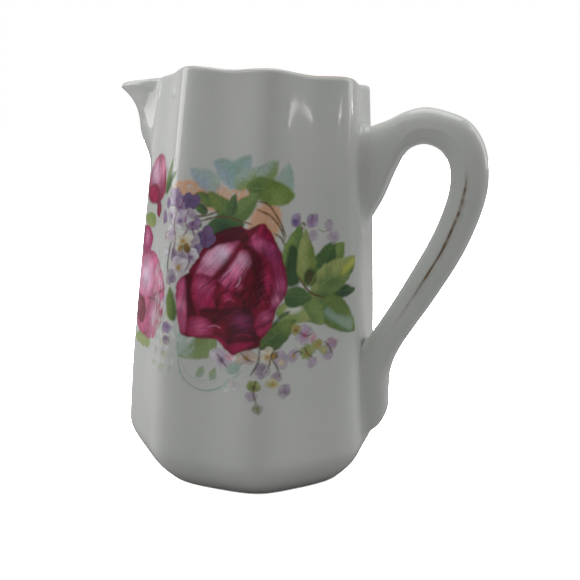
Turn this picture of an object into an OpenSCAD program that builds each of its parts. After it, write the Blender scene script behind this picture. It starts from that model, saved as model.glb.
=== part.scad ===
// Cream jug: an eight-lobed porcelain vessel with a pulled spout and an angular strap handle.
// Millimetres. +Z is up, the foot rests on z = 0, the handle points along +X, the spout along -X.
// The origin is under the middle of the whole jug, so the vessel's own axis stands at x = axis_x.

/* [Vessel] */
// Height of the rim above the table
body_h = 110; // [100:1:120]
// Ridge radius of the body at the rim
rim_r = 29.5; // [28:0.1:31]
// Ridge radius at the heel, the widest place
heel_r = 36.8; // [35:0.1:38]
// Height of the widest place
heel_z = 10; // [9:0.5:14]
// Ridge radius of the foot
foot_r = 30.6; // [29.5:0.1:32]
// Shift of the foot towards the handle
foot_shift = 1.2; // [0:0.1:1.5]
// Inner radius of the foot ring
ring_r = 25.4; // [22:0.1:26]
// Depth of the recess under the base
recess = 1.4; // [0.8:0.1:2]
// Height of the floor inside
floor_z = 4.4; // [4:0.1:6]
// Thickness of the wall
wall = 2.5; // [2:0.1:3]
// Radius of the fillet between floor and wall inside
floor_fillet = 9; // [6:0.5:12]
// Outward swell of the taper at half height
swell = 0.5; // [0:0.1:1.5]

/* [Lobes] */
// Depth of the hollow in the middle of each panel, as a share of the radius
panel_hollow = 0.025; // [0:0.001:0.03]
// Softness of each ridge, as a share of the radius
ridge_soft = 0.046; // [0.01:0.001:0.06]
// Strength of the lobes at the foot, as a share of their full strength
foot_lobes = 0.45; // [0.2:0.05:1]
// Height over which the lobes come to full strength
lobe_rise = 11; // [8:0.5:14]
// Rise of the rim at each ridge above its mean height
rim_wave = 0.3; // [0:0.05:0.6]

/* [Spout] */
// Reach of the lip beyond the panel that it is pulled from
spout_reach = 17.8; // [14:0.1:18]
// Half angle of the spout's root
spout_half = 24; // [22:0.5:27]
// Height below the rim where the throat starts
spout_drop = 34; // [28:1:40]
// Drop of the lip below the rim
lip_drop = 2.6; // [0:0.1:4]
// Half angle over which the rim falls towards the lip
drop_half = 62; // [50:1:70]

/* [Handle] */
// Width of the strap across the jug
strap_w = 8.8; // [8:0.1:10]
// Extra width of the strap where it meets the body
root_flare = 3; // [1:0.1:4]
// Place of the side arris across the strap, from the inner edge (0) to the outer edge (1)
arris = 0.44; // [0.4:0.01:0.6]

/* [Decoration] */
// Thickness of the fired-on films
film = 0.06; // [0.05:0.01:0.1]
// Lowest edge of the painted field
field_low = 20; // [18:1:30]
// Highest edge of the painted field
field_high = 98; // [80:1:100]
// Half width of the gold line on the handle's arris
gilt_half = 0.5; // [0.3:0.1:0.8]

/* [Hidden] */

lobes = 8;
lobe_angle = 360 / lobes;
turn_steps = 80;              // grid steps round the body
turn = 360 / turn_steps;
lip_steps = 8;                // grid steps over the rounded lip
lip_r = wall / 2;
round_share = 0.945;          // a circle of this share of the ridge radius crosses the lobes evenly
shift_rise = 30;              // height over which the foot's shift fades
ring_taper = 1;               // how much the recess narrows up to its ceiling
heel_power = 1.95;            // roundness of the heel
spout_angle = 180;
throat_share = 0.53;          // share of the spout's reach gained in the throat, the rest at the lip
gilt_start = 1;               // first and last lip step under the gold band
gilt_end = 6;
eps = 0.01;

porcelain = "gainsboro";
gold = "goldenrod";

// The strap's outer and inner edges from the upper root to the lower one:
// [outer x, outer z, inner x, inner z], x from the vessel's axis
STRAP = [
    [27, 97, 29.3, 65], [32, 98.9, 31.6, 71], [36, 100.6, 35.4, 78.4], [40.6, 103, 38.4, 86.5],
    [45.6, 104.3, 41.2, 92.2], [51.5, 103.5, 45.7, 94.4], [57.5, 101.2, 50.2, 93.2],
    [61.6, 96.4, 52.8, 90.2], [63.7, 90, 53.8, 86.4], [64, 82.5, 53.6, 81.4],
    [62, 73.5, 52, 75], [58.2, 63.5, 49.2, 67.6], [51.9, 51.6, 43.3, 55.5],
    [46.4, 42.3, 38.6, 46.6], [43, 36, 35, 40.4], [41.1, 30, 31.8, 34.5], [40.9, 24, 31.6, 28.5],
    [41, 18.6, 31.8, 23], [39.2, 13.8, 32, 18], [36, 11, 32.2, 14], [33, 10.2, 32.6, 12]
];
strap_last = len(STRAP) - 1;
strap_steps = 3;              // rings between two stations
ring_steps = 20;              // points round the strap
first_flare = 3;              // stations over which each root flares
last_flare = 6;
gilt_from = 5.5;              // stations between which the gold line runs
gilt_to = 13;

axis_x = (spout_tip_x() - strap_max_x()) / 2;

function clamp01(t) = min(1, max(0, t));
function ease(t) = let (c = clamp01(t)) c * c * (3 - 2 * c);
function mix(a, b, t) = a + (b - a) * t;

// ---- vessel surface ----
// Angle from the middle of the nearest panel
function panel_angle(a) = let (m = (a + lobe_angle / 2) % lobe_angle)
    (m < 0 ? m + lobe_angle : m) - lobe_angle / 2;

// Radius of the lobed section for a ridge radius of 1
function lobed(a) = let (
        d = panel_angle(a),
        flat = cos(lobe_angle / 2) / cos(d),
        hollow = panel_hollow * pow(cos(d * 180 / lobe_angle), 2),
        depth = 1 - flat + hollow
    ) (1 - sqrt(depth * depth + ridge_soft * ridge_soft)) / (1 - ridge_soft);

// Ridge radius at a height
function ridge_radius(z) = z < heel_z
    ? heel_r - (heel_r - foot_r) * pow(1 - z / heel_z, heel_power)
    : let (t = (z - heel_z) / (body_h - heel_z)) mix(heel_r, rim_r, t) + swell * sin(180 * t);

// How far the spout stands out, 0 to 1, round the body and up the wall
function from_spout(a) = abs(((a - spout_angle + 540) % 360) - 180);
function spout_round(a) = let (d = from_spout(a)) d < spout_half ? pow(cos(90 * d / spout_half), 1.5) : 0;
function spout_up(z) = let (t = clamp01((z - body_h + spout_drop) / (spout_drop - lip_drop - lip_r)))
    throat_share * ease(1.52 * t) + (1 - throat_share) * pow(t, 6);

// Outer radius at an angle and height
function outer(a, z) = ridge_radius(z)
    * mix(round_share, lobed(a), mix(foot_lobes, 1, ease(z / lobe_rise)))
    + spout_reach * spout_round(a) * spout_up(z);

// Height of the rim at an angle
function rim_z(a) = body_h + rim_wave * cos(lobes * (a - lobe_angle / 2))
    - lip_drop * ease(1 - from_spout(a) / drop_half);

// Shift of the section at a height
function lean(z) = foot_shift * pow(clamp01(1 - z / shift_rise), 1.5);

// A point of the body's skin, moved inwards by inset
function skin(a, z, inset) = let (r = outer(a, z) - inset) [lean(z) + r * cos(a), r * sin(a), z];

// Heights of the outer wall's grid rows: close together at the heel and under the lip
WALL_ROWS = [0, 1.2, 2.6, 4.2, 6, 8, 10, 12.5, 16, 20, 26, 32, 38, 44, 50, 56, 62, 68, 74, 80, 85,
    89, 93, 96, 98, 100, 102, 104, 106, 107.5];
function wall_row(z, a) = z * (rim_z(a) - lip_r) / body_h;
function wall_point(a, z) = skin(a, wall_row(z, a), 0);

// The lip is a half round from the outer wall to the inner one, with t from 0 to 180
function lip_point(a, t, out = 0) = let (r = lip_r + out, z = rim_z(a) - lip_r)
    let (p = skin(a, z, lip_r - r * cos(t))) [p[0], p[1], z + r * sin(t)];

function flat_list(rows) = [for (row = rows) each row];
function row_faces(rows, count, closed = true) = [for (j = [0:rows - 2], i = [0:count - (closed ? 1 : 2)])
    let (a = j * count + i, b = j * count + (i + 1) % count, c = a + count, d = b + count)
    each [[a, c, b], [b, c, d]]];

TURNS = [for (i = [0:turn_steps - 1]) i * turn];

// The vessel with a plain flat base
module vessel() {
    outer_rows = [for (z = WALL_ROWS) [for (a = TURNS) wall_point(a, z)]];
    lip_rows = [for (k = [0:lip_steps]) [for (a = TURNS) lip_point(a, 180 * k / lip_steps)]];
    inner_rows = [for (z = [100, 94, 88, 80, 70, 60, 48, 36, 26, 18])
        [for (a = TURNS) skin(a, wall_row(z, a), wall)]];
    fillet_rows = [for (t = [0, 16, 33, 50, 70, 90]) [for (a = TURNS)
        skin(a, floor_z + floor_fillet * (1 - sin(t)), wall + floor_fillet * (1 - cos(t)))]];
    rows = concat(outer_rows, lip_rows, inner_rows, fillet_rows);
    points = concat(flat_list(rows), [[lean(0), 0, 0], [lean(floor_z), 0, floor_z]]);
    low = len(points) - 2;
    last = (len(rows) - 1) * turn_steps;
    polyhedron(points, concat(
        row_faces(len(rows), turn_steps),
        [for (i = [0:turn_steps - 1]) [low, i, (i + 1) % turn_steps]],
        [for (i = [0:turn_steps - 1]) [low + 1, last + (i + 1) % turn_steps, last + i]]
    ));
}

// The recess under the base, which leaves the foot ring
module base_recess() {
    translate([foot_shift, 0, -recess])
        cylinder(h = 2 * recess, r1 = ring_r + ring_taper, r2 = ring_r - ring_taper, $fn = 160);
}

// ---- strap handle ----
// Catmull-Rom through the stations, s counts stations from 0
function station(s) = let (
        k = min(strap_last - 1, floor(s)), t = s - k,
        p0 = STRAP[max(0, k - 1)], p1 = STRAP[k], p2 = STRAP[k + 1], p3 = STRAP[min(strap_last, k + 2)]
    ) 0.5 * (2 * p1 + t * (p2 - p0) + t * t * (2 * p0 - 5 * p1 + 4 * p2 - p3)
        + t * t * t * (3 * p1 - p0 - 3 * p2 + p3));

// Half width of the strap at a station, in the plane of its arris
function half_width(s) = strap_w / 2 + root_flare / 2 * (
    pow(clamp01(1 - s / first_flare), 2) + pow(clamp01(1 - (strap_last - s) / last_flare), 2));

// Sharpness of the arris, which fades into both roots
function edge(s) = 0.36 * ease((s - 2) / 2) * ease((strap_last - s - 4) / 3);

// Share of the half width that is left at c, from the arris (0) to the inner or outer edge (1)
function narrowing(s, c) = sqrt(max(0, 1 - edge(s) * c - (1 - edge(s)) * pow(c, 3.6)));

// A point of the strap: u runs from the inner edge to the outer one, y across
function strap_point(s, u, y) = let (p = station(s)) [mix(p[2], p[0], u), y, mix(p[3], p[1], u)];
function strap_u(t) = arris + (cos(t) > 0 ? 1 - arris : arris) * cos(t);
function strap_ring(s) = [for (i = [0:ring_steps - 1]) let (
        t = 360 * i / ring_steps,
        y = half_width(s) * narrowing(s, abs(cos(t))) * (sin(t) < 0 ? -1 : 1)
    ) strap_point(s, strap_u(t), y)];

// A closed tube through rings of equal count
module tube(rings) {
    count = len(rings[0]);
    last = (len(rings) - 1) * count;
    polyhedron(flat_list(rings), concat(
        [[for (i = [count - 1:-1:0]) i]],
        [for (f = row_faces(len(rings), count)) [f[0], f[2], f[1]]],
        [[for (i = [0:count - 1]) last + i]]
    ));
}

module strap() {
    tube([for (s = [0:1 / strap_steps:strap_last]) strap_ring(s)]);
}

// The gold line on one arris: a V-shaped strip, side is 1 or -1
module arris_strip(side) {
    depth = 0.4;
    function edge_y(s, c) = half_width(s) * narrowing(s, c) + film;
    rings = [for (s = [gilt_from:1 / (2 * strap_steps):gilt_to]) let (
            p = station(s),
            du = gilt_half / norm([p[0] - p[2], p[1] - p[3]]),
            deep = half_width(s) - depth
        ) [
            strap_point(s, arris - du, side * deep),
            strap_point(s, arris - du, side * edge_y(s, du / arris)),
            strap_point(s, arris, side * edge_y(s, 0)),
            strap_point(s, arris + du, side * edge_y(s, du / (1 - arris))),
            strap_point(s, arris + du, side * deep)
        ]];
    tube(side < 0 ? rings : [for (r = rings) [for (i = [4:-1:0]) r[i]]]);
}

// ---- films ----
module rim_band() {
    steps = [for (k = [gilt_start:gilt_end]) 180 * k / lip_steps];
    rows = concat(
        [for (t = steps) [for (a = TURNS) lip_point(a, t, film)]],
        [for (i = [len(steps) - 1:-1:0]) [for (a = TURNS) lip_point(a, steps[i])]]
    );
    closed = concat(rows, [rows[0]]);
    count = len(rows) * turn_steps;
    polyhedron(flat_list(rows), [for (f = row_faces(len(closed), turn_steps))
        [for (v = f) v % count]]);
}

// The field that holds one rose spray, from one angle to another
module spray_field(from, to) {
    angles = [for (a = [from:turn:to + eps]) a];
    heights = [for (z = WALL_ROWS) if (z >= field_low && z <= field_high) z];
    columns = len(angles);
    layer = len(heights) * columns;
    points = concat(
        [for (z = heights, a = angles) skin(a, wall_row(z, a), -film)],
        [for (z = heights, a = angles) wall_point(a, z)]
    );
    skin_faces = row_faces(len(heights), columns, false);
    top = layer - columns;
    rim_path = concat(
        [for (i = [0:columns - 1]) i],
        [for (j = [1:len(heights) - 1]) (j + 1) * columns - 1],
        [for (i = [columns - 2:-1:0]) top + i],
        [for (j = [len(heights) - 2:-1:1]) j * columns]
    );
    n = len(rim_path);
    sides = [for (i = [0:n - 1]) let (a = rim_path[i], b = rim_path[(i + 1) % n])
        each [[a, b, a + layer], [b, b + layer, a + layer]]];
    polyhedron(points, concat(
        skin_faces,
        [for (f = skin_faces) [f[0] + layer, f[2] + layer, f[1] + layer]],
        sides
    ));
}

// ---- overall reach ----
function spout_tip_x() = outer(spout_angle, rim_z(spout_angle) - lip_r);
function strap_max_x() = max([for (s = [8:0.1:10]) station(s)[0]]);

// ---- sub-parts ----
module body() {
    color(porcelain) translate([axis_x, 0, 0]) difference() {
        vessel();
        base_recess();
    }
}

module handle() {
    color(porcelain) translate([axis_x, 0, 0]) difference() {
        strap();
        vessel();
    }
}

module rim_gilding() {
    color(gold) translate([axis_x, 0, 0]) rim_band();
}

module handle_gilding() {
    color(gold) translate([axis_x, 0, 0]) difference() {
        union() {
            arris_strip(1);
            arris_strip(-1);
        }
        strap();
    }
}

module rose_spray_near() {
    color("indianred") translate([axis_x, 0, 0]) spray_field(-153, -22.5);
}

module rose_spray_far() {
    color("rosybrown") translate([axis_x, 0, 0]) spray_field(22.5, 153);
}

body();
handle();
rim_gilding();
handle_gilding();
rose_spray_near();
rose_spray_far();
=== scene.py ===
"""Looks of the porcelain cream jug: clear glaze, fired rose sprays, worn gilding and a pale studio.

Lengths are millimetres until MM turns them into Blender's metres. Angles go round the vessel in
degrees from +X, the handle's side; the spout is at 180. The jug's surface is worked out here with
the same formulas as in the part's source, on a finer grid. The rose sprays are painted by code.
"""

import bpy
import numpy as np
from mathutils import Matrix, Vector


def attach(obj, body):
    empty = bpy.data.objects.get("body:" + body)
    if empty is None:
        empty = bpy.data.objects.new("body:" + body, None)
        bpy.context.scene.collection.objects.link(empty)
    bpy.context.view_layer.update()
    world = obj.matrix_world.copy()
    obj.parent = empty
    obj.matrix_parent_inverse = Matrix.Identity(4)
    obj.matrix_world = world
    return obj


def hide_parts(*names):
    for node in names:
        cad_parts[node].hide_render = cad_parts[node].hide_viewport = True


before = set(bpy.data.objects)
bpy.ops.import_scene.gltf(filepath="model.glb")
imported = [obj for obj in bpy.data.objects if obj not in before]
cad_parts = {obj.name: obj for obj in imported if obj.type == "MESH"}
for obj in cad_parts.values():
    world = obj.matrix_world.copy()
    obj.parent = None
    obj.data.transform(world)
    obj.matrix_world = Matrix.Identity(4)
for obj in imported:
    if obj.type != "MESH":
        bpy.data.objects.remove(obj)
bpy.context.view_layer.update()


MM = 0.001

# ================================================================ the vessel's surface
BODY_H, RIM_R, HEEL_R, HEEL_Z, FOOT_R = 110.0, 29.5, 36.8, 10.0, 30.6
HEEL_POWER, SWELL, FOOT_SHIFT, SHIFT_RISE = 1.95, 0.5, 1.2, 30.0
RING_R, RING_TAPER, RECESS, FLOOR_Z, FLOOR_FILLET, WALL = 25.4, 1.0, 1.4, 4.4, 9.0, 2.5
LOBE_ANGLE, PANEL_HOLLOW, RIDGE_SOFT = 45.0, 0.025, 0.046
FOOT_LOBES, LOBE_RISE, ROUND_SHARE, RIM_WAVE = 0.45, 11.0, 0.945, 0.3
SPOUT_ANGLE, SPOUT_REACH, SPOUT_HALF, SPOUT_DROP, THROAT_SHARE = 180.0, 17.8, 24.0, 34.0, 0.53
LIP_DROP, DROP_HALF = 2.6, 62.0
LIP_R = WALL / 2


def ease(t):
    t = np.clip(t, 0, 1)
    return t * t * (3 - 2 * t)


def mix(a, b, t):
    return a + (b - a) * t


def cosd(a):
    return np.cos(np.radians(a))


def sind(a):
    return np.sin(np.radians(a))


def lobed(angle):
    """Radius of the eight-lobed section for a ridge radius of 1."""
    off = np.mod(angle + LOBE_ANGLE / 2, LOBE_ANGLE) - LOBE_ANGLE / 2
    hollow = PANEL_HOLLOW * cosd(off * 180 / LOBE_ANGLE) ** 2
    depth = 1 - cosd(LOBE_ANGLE / 2) / cosd(off) + hollow
    return (1 - np.sqrt(depth ** 2 + RIDGE_SOFT ** 2)) / (1 - RIDGE_SOFT)


def ridge_radius(z):
    heel = HEEL_R - (HEEL_R - FOOT_R) * np.clip(1 - z / HEEL_Z, 0, 1) ** HEEL_POWER
    t = np.clip((z - HEEL_Z) / (BODY_H - HEEL_Z), 0, 1)
    return np.where(z < HEEL_Z, heel, mix(HEEL_R, RIM_R, t) + SWELL * sind(180 * t))


def from_spout(angle):
    return np.abs(np.mod(angle - SPOUT_ANGLE + 540, 360) - 180)


def outer_radius(angle, z):
    share = mix(FOOT_LOBES, 1, ease(z / LOBE_RISE))
    across = np.minimum(90 * from_spout(angle) / SPOUT_HALF, 90)
    spout = np.clip(cosd(across), 0, 1) ** 1.5
    t = np.clip((z - BODY_H + SPOUT_DROP) / (SPOUT_DROP - LIP_DROP - LIP_R), 0, 1)
    up = THROAT_SHARE * ease(1.52 * t) + (1 - THROAT_SHARE) * t ** 6
    return ridge_radius(z) * mix(ROUND_SHARE, lobed(angle), share) + SPOUT_REACH * spout * up


def rim_height(angle):
    wave = RIM_WAVE * cosd(8 * (angle - LOBE_ANGLE / 2))
    return BODY_H + wave - LIP_DROP * ease(1 - from_spout(angle) / DROP_HALF)


def lean(z):
    return FOOT_SHIFT * np.clip(1 - z / SHIFT_RISE, 0, 1) ** 1.5


# The strap handle's outer and inner edges from the upper root to the lower one, as in the part:
# outer x, outer z, inner x, inner z, with x from the vessel's axis.
STRAP = np.array([
    [27, 97, 29.3, 65], [32, 98.9, 31.6, 71], [36, 100.6, 35.4, 78.4], [40.6, 103, 38.4, 86.5],
    [45.6, 104.3, 41.2, 92.2], [51.5, 103.5, 45.7, 94.4], [57.5, 101.2, 50.2, 93.2],
    [61.6, 96.4, 52.8, 90.2], [63.7, 90, 53.8, 86.4], [64, 82.5, 53.6, 81.4],
    [62, 73.5, 52, 75], [58.2, 63.5, 49.2, 67.6], [51.9, 51.6, 43.3, 55.5],
    [46.4, 42.3, 38.6, 46.6], [43, 36, 35, 40.4], [41.1, 30, 31.8, 34.5],
    [40.9, 24, 31.6, 28.5], [41, 18.6, 31.8, 23], [39.2, 13.8, 32, 18],
    [36, 11, 32.2, 14], [33, 10.2, 32.6, 12]])
STRAP_LAST = len(STRAP) - 1
STRAP_W, ROOT_FLARE, FIRST_FLARE, LAST_FLARE, ARRIS = 8.8, 3.0, 3.0, 6.0, 0.44


def station(s):
    """Catmull-Rom through the strap's stations; s counts them from 0."""
    k = np.minimum(STRAP_LAST - 1, np.floor(s).astype(int))
    t = (s - k)[..., None]
    p0, p1 = STRAP[np.maximum(0, k - 1)], STRAP[k]
    p2, p3 = STRAP[k + 1], STRAP[np.minimum(STRAP_LAST, k + 2)]
    return 0.5 * (2 * p1 + t * (p2 - p0) + t ** 2 * (2 * p0 - 5 * p1 + 4 * p2 - p3)
                  + t ** 3 * (3 * p1 - p0 - 3 * p2 + p3))


# Both ends of the jug stand equally far from the frame's origin.
TIP_X = float(outer_radius(np.array(SPOUT_ANGLE), rim_height(np.array(SPOUT_ANGLE)) - LIP_R))
AXIS_X = (TIP_X - station(np.arange(8, 10.01, 0.1))[:, 0].max()) / 2


def skin(angle, z, inset=0.0):
    """Points of the body's skin, moved inwards by inset."""
    radius = outer_radius(angle, z) - inset
    z = z + 0 * radius
    return np.stack([AXIS_X + lean(z) + radius * cosd(angle), radius * sind(angle), z], -1)


def lip_point(angle, turn, out=0.0):
    """The rounded lip: turn runs from 0 at the outer wall over the top to 180 at the inner one."""
    r = LIP_R + out
    base = rim_height(angle) - LIP_R
    point = skin(angle, base, LIP_R - r * cosd(turn))
    point[..., 2] = base + r * sind(turn)
    return point


# ================================================================ meshes
def grid_quads(rows, columns, closed):
    """Corners of a grid's quads; closed joins the last column to the first."""
    span = columns if closed else columns - 1
    j, i = np.meshgrid(np.arange(rows - 1), np.arange(span), indexing="ij")
    here, right = j * columns + i, j * columns + (i + 1) % columns
    return np.stack([here, right, right + columns, here + columns], -1).reshape(-1, 4)


def fan(pole, ring):
    return np.stack([np.full(len(ring), pole), ring, np.roll(ring, -1)], -1)


def mesh_piece(name, points, faces, material, stands_for):
    """A smooth piece from an (n, 3) array of millimetres and a list of face arrays."""
    mesh = bpy.data.meshes.new(name)
    corners = np.concatenate([f.ravel() for f in faces]).astype(np.int32)
    sizes = np.concatenate([np.full(len(f), f.shape[1]) for f in faces])
    starts = np.concatenate([[0], np.cumsum(sizes)[:-1]]).astype(np.int32)
    mesh.vertices.add(len(points))
    mesh.vertices.foreach_set("co", (points * MM).astype(np.float32).ravel())
    mesh.loops.add(len(corners))
    mesh.loops.foreach_set("vertex_index", corners)
    mesh.polygons.add(len(starts))
    mesh.polygons.foreach_set("loop_start", starts)
    mesh.update(calc_edges=True)
    mesh.polygons.foreach_set("use_smooth", np.ones(len(starts), bool))
    mesh.materials.append(material)
    piece = bpy.data.objects.new(name, mesh)
    bpy.context.scene.collection.objects.link(piece)
    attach(piece, "root")
    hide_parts(stands_for)
    return piece


def paint_attribute(piece, name, values):
    """Store one grey value or one linear colour for each of the piece's points."""
    if values.ndim == 1:
        values = np.repeat(values[:, None], 4, 1)
    elif values.shape[1] == 3:
        values = np.concatenate([values, np.ones((len(values), 1))], 1)
    layer = piece.data.attributes.new(name, "FLOAT_COLOR", "POINT")
    layer.data.foreach_set("color", values.astype(np.float32).ravel())


# ================================================================ body
def build_body(material):
    turns = np.arange(0, 360, 1.0)
    count = len(turns)
    lip_base = rim_height(turns) - LIP_R
    centre_x = AXIS_X + FOOT_SHIFT
    inner_r = RING_R - RING_TAPER
    # radius and height: over the recess, up its side and round the foot ring's inner corner
    recess = [(8, RECESS), (16, RECESS), (21, RECESS), (inner_r - 0.5, RECESS),
              (inner_r, RECESS - 0.15), (RING_R - 0.25, 0.3), (RING_R + 0.1, 0.06),
              (RING_R + 0.5, 0.0)]
    rows = [np.stack([centre_x + r * cosd(turns), r * sind(turns), np.full(count, z)], -1)
            for r, z in recess]
    wall = np.concatenate([10 * np.linspace(0, 1, 17) ** 1.2, np.linspace(11, 74, 46),
                           np.linspace(75, 110, 44)])
    rows += [skin(turns, z * lip_base / BODY_H) for z in wall]
    rows += [lip_point(turns, t) for t in np.linspace(0, 180, 17)[1:]]
    rows += [skin(turns, z * lip_base / BODY_H, WALL) for z in np.linspace(108, 15, 40)]
    rows += [skin(turns, FLOOR_Z + FLOOR_FILLET * (1 - sind(t)) + 0 * turns,
                  WALL + FLOOR_FILLET * (1 - cosd(t))) for t in np.linspace(0, 90, 12)]
    centre = np.array([centre_x, 0, FLOOR_Z])
    floor_edge = rows[-1]
    rows += [mix(centre, floor_edge, share) for share in (0.7, 0.35)]
    points = np.concatenate(rows + [[[centre_x, 0, RECESS]], [centre]])
    base_pole, floor_pole = len(points) - 2, len(points) - 1
    last_row = (len(rows) - 1) * count
    faces = [grid_quads(len(rows), count, True), fan(base_pole, np.arange(count))[:, ::-1],
             fan(floor_pole, last_row + np.arange(count))]
    mesh_piece("cream_jug_body", points, faces, material, "body")


# ================================================================ handle
def half_width(s):
    first = np.clip(1 - s / FIRST_FLARE, 0, 1) ** 2
    last = np.clip(1 - (STRAP_LAST - s) / LAST_FLARE, 0, 1) ** 2
    return STRAP_W / 2 + ROOT_FLARE / 2 * (first + last)


def edge(s):
    return 0.36 * ease((s - 2) / 2) * ease((STRAP_LAST - s - 4) / 3)


def strap_surface(s, t):
    """Points of the strap at station s and turn t round it, in the frame's millimetres."""
    c = cosd(t)
    u = ARRIS + np.where(c > 0, 1 - ARRIS, ARRIS) * c
    left = 1 - edge(s) * np.abs(c) - (1 - edge(s)) * np.abs(c) ** 3.6
    y = half_width(s) * np.sqrt(np.clip(left, 0, 1)) * np.sign(sind(t).round(9))
    p = station(s)
    return np.stack([AXIS_X + mix(p[..., 2], p[..., 0], u), y, mix(p[..., 3], p[..., 1], u)], -1)


FILLET = 3.0                    # radius of the glaze-filled corner between strap and body
SUNK, SUNK_OVER = 1.0, 3.0      # depth in the wall at which it starts to fade, and over how far


def filleted(points, normals):
    """Round the corner where the strap meets the body: each point moves along its normal to the
    surface of a ball of the fillet's radius that touches both."""
    x, y, z = points[..., 0] - AXIS_X - lean(points[..., 2]), points[..., 1], points[..., 2]
    reach = np.hypot(x, y)
    clear = reach - outer_radius(np.degrees(np.arctan2(y, x)), z)
    slope = (normals[..., 0] * x + normals[..., 1] * y) / reach
    radius = FILLET * np.sqrt(np.clip(1 - slope ** 2, 0.02, 1))
    low = np.maximum(-slope * radius, 0)
    gap = np.clip(radius - np.maximum(clear, -np.maximum(slope, 0) * radius), 0, None)
    a, b = 1 + slope ** 2, radius + gap * slope
    out = (b - np.sqrt(np.maximum(b ** 2 - a * gap ** 2, 0))) / a
    out = np.where(clear < low, np.minimum(out, radius), out)
    sunk = np.clip(1 + (clear + SUNK) / SUNK_OVER, 0, 1)
    return points + normals * (out * sunk)[..., None]


def normals_of(grid):
    """Outward normals of the closed strap grid."""
    along = np.gradient(grid, axis=0)
    around = np.roll(grid, -1, 1) - np.roll(grid, 1, 1)
    normal = np.cross(around, along)
    normal = normal / np.maximum(np.linalg.norm(normal, axis=-1, keepdims=True), 1e-9)
    middle = len(grid) // 2
    return normal * np.sign((normal[middle] * (grid[middle] - grid[middle].mean(0))).sum())


def build_handle(material):
    stations, turns = np.linspace(0, STRAP_LAST, 321), np.arange(0, 360, 3.75)
    grid = strap_surface(*np.meshgrid(stations, turns, indexing="ij"))
    grid = filleted(grid, normals_of(grid))
    rings, count = grid.shape[:2]
    points = np.concatenate([grid.reshape(-1, 3), [grid[0].mean(0), grid[-1].mean(0)]])
    faces = [grid_quads(rings, count, True)[:, ::-1], fan(len(points) - 2, np.arange(count)),
             fan(len(points) - 1, (rings - 1) * count + np.arange(count))[:, ::-1]]
    mesh_piece("cream_jug_handle", points, faces, material, "handle")


# ================================================================ painting
# A field is painted on a grid of u, the distance round the jug, and v, the height. Colours are
# sRGB as they look in the jug's own soft shade; SHADE_GAIN turns them into reflectance.
SHADE_GAIN = 2.6
SEED = 11


def linear(rgb):
    c = np.asarray(rgb, float) / 255
    return np.where(c < 0.04045, c / 12.92, ((c + 0.055) / 1.055) ** 2.4)


def ink(*rgb):
    return np.minimum(linear(rgb) * SHADE_GAIN, 0.9)


def smooth_line(points, closed):
    """Catmull-Rom through the given points, eight steps to each span."""
    p = np.asarray(points, float)
    if closed:
        ring = np.concatenate([p[-1:], p, p[:2]])
    else:
        ring = np.concatenate([2 * p[:1] - p[1:2], p, 2 * p[-1:] - p[-2:-1]])
    t = np.arange(0, 1, 0.125)[:, None]
    spans = [0.5 * (2 * b + t * (c - a) + t ** 2 * (2 * a - 5 * b + 4 * c - d)
                    + t ** 3 * (3 * b - a - 3 * c + d))
             for a, b, c, d in zip(ring, ring[1:], ring[2:], ring[3:])]
    return np.concatenate(spans + ([] if closed else [p[-1:]]))


def value_noise(u, v, scale, seed):
    """Smooth noise from 0 to 1 whose grains are about scale across."""
    table = np.random.default_rng(seed).random((256, 256))
    x, y = u / scale + 300, v / scale + 300
    i, j = np.floor(x).astype(int), np.floor(y).astype(int)
    fx, fy = ease(x - i), ease(y - j)

    def at(a, b):
        return table[(j + b) % 256, (i + a) % 256]
    return mix(mix(at(0, 0), at(1, 0), fx), mix(at(0, 1), at(1, 1), fx), fy)


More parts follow.
